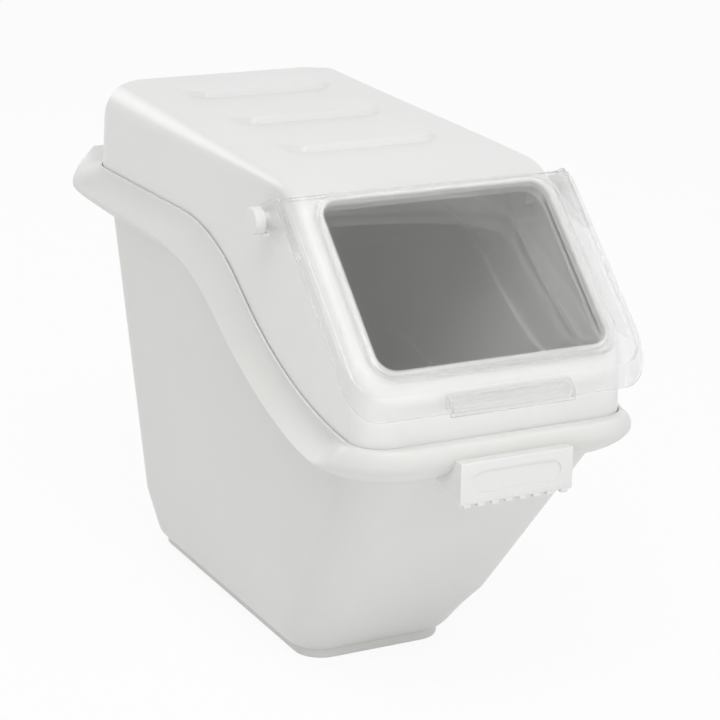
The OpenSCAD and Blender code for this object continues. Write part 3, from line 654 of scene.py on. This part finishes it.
def pill(half, low, high, r, steps=12):
    """A rounded rectangle as a closed outline, walked anticlockwise."""
    outline = []
    for cx, cy, start in ((-half + r, low + r, 180), (half - r, low + r, 270),
                          (half - r, high - r, 0), (-half + r, high - r, 90)):
        for k in range(steps + 1):
            a = math.radians(start + 90 * k / steps)
            outline.append((cx + r * math.cos(a), cy + r * math.sin(a)))
    return np.array(outline)


def slab_faces(n):
    """The faces of a straight solid: two outlines of n points and the walls between them."""
    walls = [(i, (i + 1) % n, n + (i + 1) % n, n + i) for i in range(n)]
    return [tuple(range(n))[::-1], tuple(range(n, 2 * n))] + walls


def prism(name, outline, low, high, material, place=on_slope):
    """A straight solid from an outline in the slope's own axes, or another place."""
    points = [(x, y, z) for z in (low, high) for x, y in outline]
    return make_mesh(name, place(points), slab_faces(len(outline)), material)


def rod(name, x0, x1, radius, material, turn=0.0):
    """A round bar along X on the hinge axis, with its edges rounded by turn."""
    a = np.linspace(0, 2 * math.pi, rod_sides, endpoint=False)
    bends = np.linspace(0, math.pi / 2, rod_edge_steps) if turn else [0.0]
    edge = [(turn * (1 - math.sin(t)), radius - turn * (1 - math.cos(t))) for t in bends]
    stations = [(x0 + d, r) for d, r in reversed(edge)] + [(x1 - d, r) for d, r in edge]
    rings = [np.stack([np.full(rod_sides, x), hinge_y + r * np.cos(a), hinge_z + r * np.sin(a)], 1)
             for x, r in stations]
    return make_mesh(name, np.concatenate(rings), capped(rings), material)


def span(side, a, b):
    """Two distances from the middle, as x on one side of the bin with the lower first."""
    return sorted((side * a, side * b))


def settle(piece):
    """Makes the result of a piece's modifiers its own mesh, and takes them away."""
    depsgraph = bpy.context.evaluated_depsgraph_get()
    shape = bpy.data.meshes.new_from_object(piece.evaluated_get(depsgraph))
    piece.modifiers.clear()
    old, piece.data = piece.data, shape
    shape.name = piece.name
    bpy.data.meshes.remove(old)


def carve(piece, tool, operation):
    """Cuts or joins another solid, and takes that solid away."""
    cut = piece.modifiers.new("cut", "BOOLEAN")
    cut.operation = operation
    cut.solver = "EXACT"
    cut.object = tool
    settle(piece)
    bpy.data.objects.remove(tool)


print("the slope leans", round(math.degrees(mouth_slope)), "degrees")

# %% [markdown]
# A collar stands round the opening. It keeps dust out of the gap under the lid, and its rounded
# top edge is what the clear pane sits over. A bevelled boolean would be rough at the corners, so
# the collar is one closed skin: the same outline at 13 sizes and heights, which are its section.

# %% Opening, sockets and collar
def mouth_outline(grow):
    return pill(mouth_half_w + grow, -grow, mouth_length + grow, mouth_corner + grow)


mouth_reach, bore_reach = 30, 10  # how far the cutting solids stand out
socket_floor, socket_lap = 1, 1
mouth_tool = prism("mouth", mouth_outline(0), -face_depth - collar_drop - mouth_reach, mouth_reach,
                   white_plastic)
carve(hood, mouth_tool, "DIFFERENCE")
hood_side_x = float(hood_half_w(hinge_y)) - hood_draft
socket_x = hood_side_x - hood_wall - socket_depth
for side in (-1, 1):
    x0, x1 = span(side, socket_x, hood_side_x - socket_lap)
    carve(hood, rod("socket", x0, x1, pin_d / 2 + socket_wall, white_plastic), "UNION")
    x0, x1 = span(side, socket_x + socket_floor, hood_side_x + bore_reach)
    carve(hood, rod("socket_bore", x0, x1, pin_d / 2, white_plastic), "DIFFERENCE")
soften(hood, 30)

collar_low, collar_top = -face_depth - collar_drop, -face_depth + collar_rise
wall, round_r, round_mid = collar_wall, 1.2, 0.35
section = [(0, collar_low), (0, collar_top - round_r), (round_mid, collar_top - round_mid),
           (round_r, collar_top), (wall - round_r, collar_top),
           (wall - round_mid, collar_top - round_mid), (wall, collar_top - round_r),
           (wall, -face_depth + 1.6), (wall + 0.6, -face_depth + 0.5),
           (wall + 2, -face_depth - 0.05), (wall + 2, -face_depth - 1),
           (wall, -face_depth - 1.5), (wall, collar_low)]
collar_rings = [on_slope([(x, v, z) for x, v in mouth_outline(grow)]) for grow, z in section]
collar = make_mesh("opening_collar", np.concatenate(collar_rings),
                   skin(collar_rings, closed=True), white_plastic, 50)

for piece in (hood, collar):
    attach(piece, "hood")
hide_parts("hood")
print("hood faces:", len(hood.data.polygons), "collar faces:", len(collar.data.polygons))

# %% [markdown]
# The lid is one clear moulding: a raised pane, a flange round it, and a skirt that hangs straight
# down in front and flares out a little along the sides. Clear plastic shows both faces of its
# wall, so a single sheet won't do. The lid is built from rings in the slope's own axes, outside
# first and then back along the inside, so that the wall has its real thickness.

# %% The clear lid
lid_share = np.linspace(0.02, 0.98, 60)
lid_top = mouth_length + pane_top_margin
plumb_run = 1.4  # front corner radii over which the straight hang fades out
rear_lift = 0.85  # how much of the side skirt is gone round the rear corners
pane_edge = [(5, 0), (3.4, -0.08), (2.2, -0.4), (1.1, -1.1), (0.4, -2), (0, -3)]
flange_root = [(2.6, 0), (1.5, -0.05), (0.7, -0.3), (0.2, -0.7)]
skirt_edge = [(0.15, 1.1), (0.5, 1.6), (1.1, 2.1), (1.6, 2.3)]


def lid_ring(half, low, high, rf, rr, z, fall=0.0):
    """One ring. A fallen one hangs straight down along the front, and a little at the sides."""
    v, inside = walk(lid_share, low, high, rf, rr)
    plumb = 1 - ease((v - low) / (plumb_run * rf))
    side_fall = skirt_side * (1 - rear_lift * rear_turn(lid_share))
    drop = mix(side_fall, skirt_h * math.cos(mouth_slope), plumb)
    return on_slope(ring(-half + inside, v - fall * skirt_h * plumb * math.sin(mouth_slope),
                         z - fall * drop))


def pane_ring(inset, z):
    r = pane_corner - inset
    return lid_ring(pane_half_w - inset, inset - pane_margin, lid_top - inset, r, r, z)


def flange_ring(inset, z, fall=0.0, rear=1.0):
    """A ring of the flange or skirt. Rear is the share of the inset that its upper edge takes."""
    flare = skirt_flare * fall
    return lid_ring(flange_half_w + flare - inset, inset - flange_front,
                    lid_top + 1 - rear * inset, flange_corner + flare / 2 - inset,
                    max(1, flange_rear_corner - inset), z, fall)


def make_lid():
    t, step = lid_wall, -flange_step
    outer = [pane_ring(i, z) for i, z in pane_edge]
    outer += [pane_ring(i, step + z) for i, z in [(-0.1, 1.2), (-0.35, 0.5), (-0.75, 0.1)]]
    outer += [flange_ring(i, step + z, 0, 0.1) for i, z in flange_root]
    outer += [flange_ring(0, step - 0.9, fall, 0.1) for fall in (0.12, 0.35, 0.65, 0.95)]
    lip = [flange_ring(i, step - z, 1, 0.5) for i, z in skirt_edge]
    inner = [flange_ring(t - 0.5, step - 2.3, 0.6), flange_ring(t - 0.1, step - 2.5, 0.2),
             flange_ring(t + 0.5, step - t, 0)]
    inner += [pane_ring(i, z) for i, z in
              [(t - 0.9, step - t), (t - 0.25, step - t + 0.8), (t, step - t + 1.8),
               (t, -t - 1.9), (t + 0.6, -t - 0.9), (t + 1.8, -t - 0.25), (t + 3.5, -t)]]
    rings = outer + lip + inner
    return make_mesh("clear_lid", np.concatenate(rings), capped(rings), clear_plastic, 40)


lid = make_lid()
print("lid faces:", len(lid.data.polygons))

# %% [markdown]
# Two ears carry the lid on its pegs, and the tab in front is a small shelf with closed cheeks.
# They could be grown out of the lid's own faces, but their edges don't line up with its rings.
# So each is a flat outline given a thickness, with a narrow bevel like the one a mould leaves,
# and is then joined to the lid.

# %% Ears and finger tab
ear_gap, ear_drop, ear_lap = 0.8, 4.3, 4
ear_bevel, tab_bevel, bevel_steps = 0.4, 0.8, 3


def slope_point(v, n):
    """A point of the side view, v up the slope and n out of it."""
    return (mouth_y + v * math.cos(mouth_slope) - n * math.sin(mouth_slope),
            mouth_z + v * math.sin(mouth_slope) + n * math.cos(mouth_slope))


def plate(name, outline, x0, x1, material, bevel):
    """A flat plate from an outline in the side view, from x0 to x1, with bevelled edges."""
    points = [(x, y, z) for x in (x0, x1) for y, z in outline]
    piece = make_mesh(name, points, slab_faces(len(outline)), material)
    if bevel:
        edge = piece.modifiers.new("edge", "BEVEL")
        edge.width = bevel * 0.001
        edge.segments = bevel_steps
        edge.limit_method = "ANGLE"
        edge.angle_limit = math.radians(50)
        settle(piece)
    return piece


ear_x = flange_half_w + ear_gap
ear_under = -flange_step - ear_drop
ear_arc = [math.radians(50 - 190 * k / 36) for k in range(37)]
ear_outline = [slope_point(ear_root, ear_under - ear_lap), slope_point(ear_root, ear_under),
               slope_point(lid_top - 2, ear_under), slope_point(lid_top + 8, ear_under - ear_lap)]
ear_outline += [(hinge_y + ear_d / 2 * math.cos(t), hinge_z + ear_d / 2 * math.sin(t))
                for t in ear_arc]
ear_outline += [slope_point(ear_root + 20, ear_under - 18)]
for side in (-1, 1):
    x0, x1 = span(side, ear_x, ear_x + ear_t)
    carve(lid, plate("ear", ear_outline, x0, x1, clear_plastic, ear_bevel), "UNION")
    bore = rod("ear_bore", x0 - 2, x1 + 2, (pin_d + pin_clear) / 2, clear_plastic)
    carve(lid, bore, "DIFFERENCE")

tab_y, tab_z = slope_point(-flange_front, -flange_step)
tab_front, tab_edge_z, tab_root = tab_y - tab_reach, tab_z - tab_fall, tab_y + 1.5
tab_outline = [(tab_root, tab_z - 0.5), (tab_front + 1.4, tab_edge_z + 0.8),
               (tab_front + 0.4, tab_edge_z + 0.1), (tab_front, tab_edge_z - 0.9),
               (tab_front, tab_edge_z - tab_h), (tab_front + lid_wall, tab_edge_z - tab_h),
               (tab_front + lid_wall, tab_edge_z - lid_wall + 1),
               (tab_root, tab_z - lid_wall - 1.5)]
cheek_outline = [(tab_root, tab_z - 1), (tab_front + 1, tab_edge_z),
                 (tab_front + 1, tab_edge_z - tab_h + 1), (tab_root, tab_edge_z - 4)]
tab = plate("tab", tab_outline, -tab_half_w, tab_half_w, clear_plastic, tab_bevel)
carve(lid, tab, "UNION")
for side in (-1, 1):
    x0, x1 = span(side, tab_half_w, tab_half_w - lid_wall)
    carve(lid, plate("cheek", cheek_outline, x0, x1, clear_plastic, 0), "UNION")
soften(lid, 35)
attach(lid, "lid")
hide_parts("flip_lid")
print("lid faces with ears and tab:", len(lid.data.polygons))

# %% [markdown]
# Each peg is a plain round plug with a softened rim, pushed through the ear into the hood. A
# ready-made cylinder has a knife edge, so the head is a rod whose two ends curve in, and the
# thinner shank is joined to it.

# %% Pegs
head_x = ear_x + ear_t + ear_side_gap
head_round, head_lap, shank_gap, shank_end_gap = 1.4, 1, 0.02, 0.2
for side, node in ((-1, "hinge_pin_left"), (1, "hinge_pin_right")):
    head = span(side, head_x, head_x + pin_head_l)
    shank = span(side, socket_x + socket_floor + shank_end_gap, head_x + head_lap)
    peg = rod("peg_" + node.split("_")[-1], *head, pin_head_d / 2, white_plastic, head_round)
    carve(peg, rod("shank", *shank, pin_d / 2 - shank_gap, white_plastic), "UNION")
    soften(peg, 30)
    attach(peg, "hood")
    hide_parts(node)
print("peg heads reach", round(head_x + pin_head_l, 1), "mm from the middle")

# %% [markdown]
# The grip under the front of the rim is a shallow box, open behind so that fingers can curl into
# it. Its face has a bare recess. A box cut to size would miss the raked wall behind it, so its
# two cheeks take their rear edge from the tub's own rings and meet the wall all the way down.

# %% The front grip
grip_top = grip_low_z + grip_face_h
cheek_lift, cheek_inset, web_t = 9, 0.2, 2.4


def front_grip():
    wall_line = [body_ring(t, 0)[0, 1:] for t in (0.5, 0.8, 1)]
    wall_line += [band_ring(u)[0, 1:] for u in np.linspace(0.05, 1, 20)]
    behind = [(y, z) for y, z in wall_line if grip_low_z + cheek_lift < z < grip_top]
    cheek_y = grip_front + cheek_inset
    cheek = [(cheek_y, grip_low_z), (cheek_y, grip_top - 1)] + behind[::-1]
    face_rear = grip_front + grip_wall
    face = [(grip_front, grip_low_z), (grip_front, grip_top), (face_rear, grip_top),
            (face_rear, grip_low_z)]
    made = plate("front_grip_face", face, -grip_half_w, grip_half_w, white_plastic, 1.0)
    for side in (-1, 1):
        x0, x1 = span(side, grip_half_w, grip_half_w - grip_wall)
        carve(made, plate("cheek", cheek, x0 + 0.01, x1 - 0.01, white_plastic, 0), "UNION")
    web_z, web_y = grip_top - 0.2, nose_front + 3
    web = [(grip_front + 0.4, web_z - web_t), (grip_front + 0.4, web_z), (web_y, web_z),
           (web_y, web_z - web_t)]
    web_x = grip_half_w - 0.01
    carve(made, plate("web", web, -web_x, web_x, white_plastic, 0), "UNION")
    return made


def upright(points):
    """From a front view (across, up, out) to the grip's face, at the depth of its recess."""
    points = np.asarray(points, float)
    y = grip_front + recess_depth - points[:, 2]
    return np.column_stack([points[:, 0], y, points[:, 1]])


grip = front_grip()
recess = pill(recess_half_w, grip_low_z + (grip_face_h - recess_h) / 2,
              grip_low_z + (grip_face_h + recess_h) / 2, recess_h / 2 - 0.1, 10)
carve(grip, prism("recess", recess, 0, 10, white_plastic, upright), "DIFFERENCE")
soften(grip, 35)
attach(grip, "tub")
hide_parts("front_grip")
print("grip faces:", len(grip.data.polygons))

# %% [markdown]
# A row of short teeth along the grip's lower edge gives fingers hold. Eight copies could be
# placed by a loop. But the teeth repeat at one pitch, so a small node tree makes them: a line of
# points, one rounded tooth on each, and the copies made real at the end. Changing the count or
# the pitch then takes one number.

# %% Teeth under the grip
def teeth_tree():
    tree = bpy.data.node_groups.new("row_of_teeth", "GeometryNodeTree")
    tree.interface.new_socket("Geometry", in_out="INPUT", socket_type="NodeSocketGeometry")
    for label, kind in (("Count", "NodeSocketInt"), ("Start", "NodeSocketVector"),
                        ("Pitch", "NodeSocketVector"), ("Tooth", "NodeSocketObject"),
                        ("Material", "NodeSocketMaterial")):
        tree.interface.new_socket(label, in_out="INPUT", socket_type=kind)
    tree.interface.new_socket("Geometry", in_out="OUTPUT", socket_type="NodeSocketGeometry")
    given = add_node(tree, "NodeGroupInput")
    line = add_node(tree, "GeometryNodeMeshLine", inputs={
        "Count": (given, "Count"), "Start Location": (given, "Start"),
        "Offset": (given, "Pitch")})
    tooth = add_node(tree, "GeometryNodeObjectInfo", inputs={"Object": (given, "Tooth")})
    copies = add_node(tree, "GeometryNodeInstanceOnPoints", inputs={
        "Points": (line, "Mesh"), "Instance": (tooth, "Geometry")})
    real = add_node(tree, "GeometryNodeRealizeInstances", inputs={
        "Geometry": (copies, "Instances")})
    finish = add_node(tree, "GeometryNodeSetMaterial", inputs={
        "Geometry": (real, "Geometry"), "Material": (given, "Material")})
    add_node(tree, "NodeGroupOutput", inputs={"Geometry": (finish, "Geometry")})
    return tree


tooth_depth, tooth_lap = 2 * grip_wall, 1  # front to back, and how far a tooth stands in the face
tooth_outline = [(0, 1), (0, tooth_h), (tooth_depth, tooth_h), (tooth_depth, 1.6),
                 (tooth_depth - 1.2, 0), (1.2, 0)]
tooth = plate("tooth", tooth_outline, 0, tooth_w, white_plastic, 0.7)
teeth = add_object("grip_teeth", bpy.data.meshes.new("grip_teeth"))
row = teeth.modifiers.new("row", "NODES")
row.node_group = teeth_tree()
pitch = (2 * grip_half_w - 2 * grip_wall - tooth_w) / (tooth_count - 1) * 0.001
start = ((grip_wall - grip_half_w) * 0.001, grip_front * 0.001 + 0.0001,
         (grip_low_z - tooth_h + tooth_lap) * 0.001)
values = {"Count": tooth_count, "Start": start, "Pitch": (pitch, 0, 0), "Tooth": tooth,
          "Material": white_plastic}
for item in row.node_group.interface.items_tree:
    if item.in_out == "INPUT" and item.name in values:
        row[item.identifier] = values[item.name]
settle(teeth)
bpy.data.objects.remove(tooth)
soften(teeth, 35)
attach(teeth, "tub")
print("teeth:", tooth_count, "at", round(pitch * 1000, 1), "mm")

# %% [markdown]
# The studio is a white floor that runs into a white world. More light on a grey floor would make
# it white too, but would wash out the bin. So a few nodes tell the rays that look, from the
# camera or by way of a glossy or clear surface, from all others. Only the first see the white.

# %% White for the rays that look
def looking_ray(tree):
    """A node that is 1 for camera, glossy and transmission rays, and 0 for all others."""
    ray = add_node(tree, "ShaderNodeLightPath")
    pair = add_node(tree, "ShaderNodeMath", {"operation": "MAXIMUM"}, {
        0: (ray, "Is Camera Ray"), 1: (ray, "Is Glossy Ray")})
    return add_node(tree, "ShaderNodeMath", {"operation": "MAXIMUM"}, {
        0: (pair, "Value"), 1: (ray, "Is Transmission Ray")})


seen_white, glow_share = 1.0, 0.9
print("looking rays see", glow_share, "glow and", round(1 - glow_share, 2), "of the floor itself")

# %% [markdown]
# To the rays that look, the floor is mostly a plain white glow, with a share of its real lit
# surface left in so that the bin keeps its shadow. All other rays meet an ordinary pale floor of
# matt paper, so the glow adds no light to the bin.

# %% The floor
white = (1, 1, 1, 1)
grain_waves, floor_half = 300.0, 6
floor_material, floor_tree = blank_material("paper_sweep_white")
place = add_node(floor_tree, "ShaderNodeTexCoord")
grain = add_node(floor_tree, "ShaderNodeTexNoise", inputs={
    "Vector": (place, "Object"), "Scale": grain_waves})
tone = add_node(floor_tree, "ShaderNodeMix", {"data_type": "RGBA"}, {
    "Factor": (grain, "Fac"), "A": paint("#F6F6F6"), "B": paint("#FAFAFA")})
paper = add_node(floor_tree, "ShaderNodeBsdfPrincipled", inputs={
    "Base Color": (tone, "Result"), "Roughness": 0.9})
glow = add_node(floor_tree, "ShaderNodeEmission", inputs={
    "Color": white, "Strength": seen_white})
share = add_node(floor_tree, "ShaderNodeMath", {"operation": "MULTIPLY"}, {
    0: (looking_ray(floor_tree), "Value"), 1: glow_share})
sweep = add_node(floor_tree, "ShaderNodeMixShader", inputs={
    0: (share, "Value"), 1: (paper, "BSDF"), 2: (glow, "Emission")})
add_node(floor_tree, "ShaderNodeOutputMaterial", inputs={"Surface": (sweep, "Shader")})

corner_signs = ((-1, -1), (1, -1), (1, 1), (-1, 1))
floor_corners = [(floor_half * x, floor_half * y, 0) for x, y in corner_signs]
floor_mesh = bpy.data.meshes.new("floor")
floor_mesh.from_pydata(floor_corners, [], [(0, 1, 2, 3)])
floor_mesh.materials.append(floor_material)
floor = add_object("floor", floor_mesh)
print("floor:", 2 * floor_half, "m wide")

# %% [markdown]
# The light is that of a photographer's tent: an even white world for the soft shade, and four
# large soft boxes for the shape. One lamp alone would leave hard shadows under the rim. The key
# comes from above the left front, two weaker ones lift the front, and one edges the rear.

# %% World and lamps
tent_light = 0.63
world = bpy.data.worlds.new("light_tent")
world.use_nodes = True
tent = world.node_tree
tent.nodes.clear()
sky = add_node(tent, "ShaderNodeBackground", inputs={"Color": white, "Strength": tent_light})
seen = add_node(tent, "ShaderNodeBackground", inputs={"Color": white, "Strength": seen_white})
swap = add_node(tent, "ShaderNodeMixShader", inputs={
    0: (looking_ray(tent), "Value"), 1: (sky, "Background"), 2: (seen, "Background")})
add_node(tent, "ShaderNodeOutputWorld", inputs={"Surface": (swap, "Shader")})
bpy.context.scene.world = world


def soft_box(name, place, target, size, watts):
    """A rectangular area lamp at a place, turned to its target. Its size is in metres."""
    lamp = bpy.data.lights.new(name, "AREA")
    lamp.shape = "RECTANGLE"
    lamp.size, lamp.size_y = size
    lamp.energy = watts
    add_object(name, lamp).matrix_world = aimed(place, target)


soft_box("key_box", (-0.65, -1.3, 2.1), (0, 0, 0.25), (1.4, 1.2), 18)
soft_box("front_box", (0.85, -1.75, 1.2), (0, -0.2, 0.25), (1.2, 0.2), 3)
soft_box("low_box", (0.2, -2.2, 0.35), (0, 0, 0.15), (1.6, 0.5), 2)
soft_box("edge_box", (-0.7, 2.0, 1.15), (0, 0, 0.3), (1.4, 0.6), 5)
bpy.context.scene.view_settings.view_transform = "Standard"
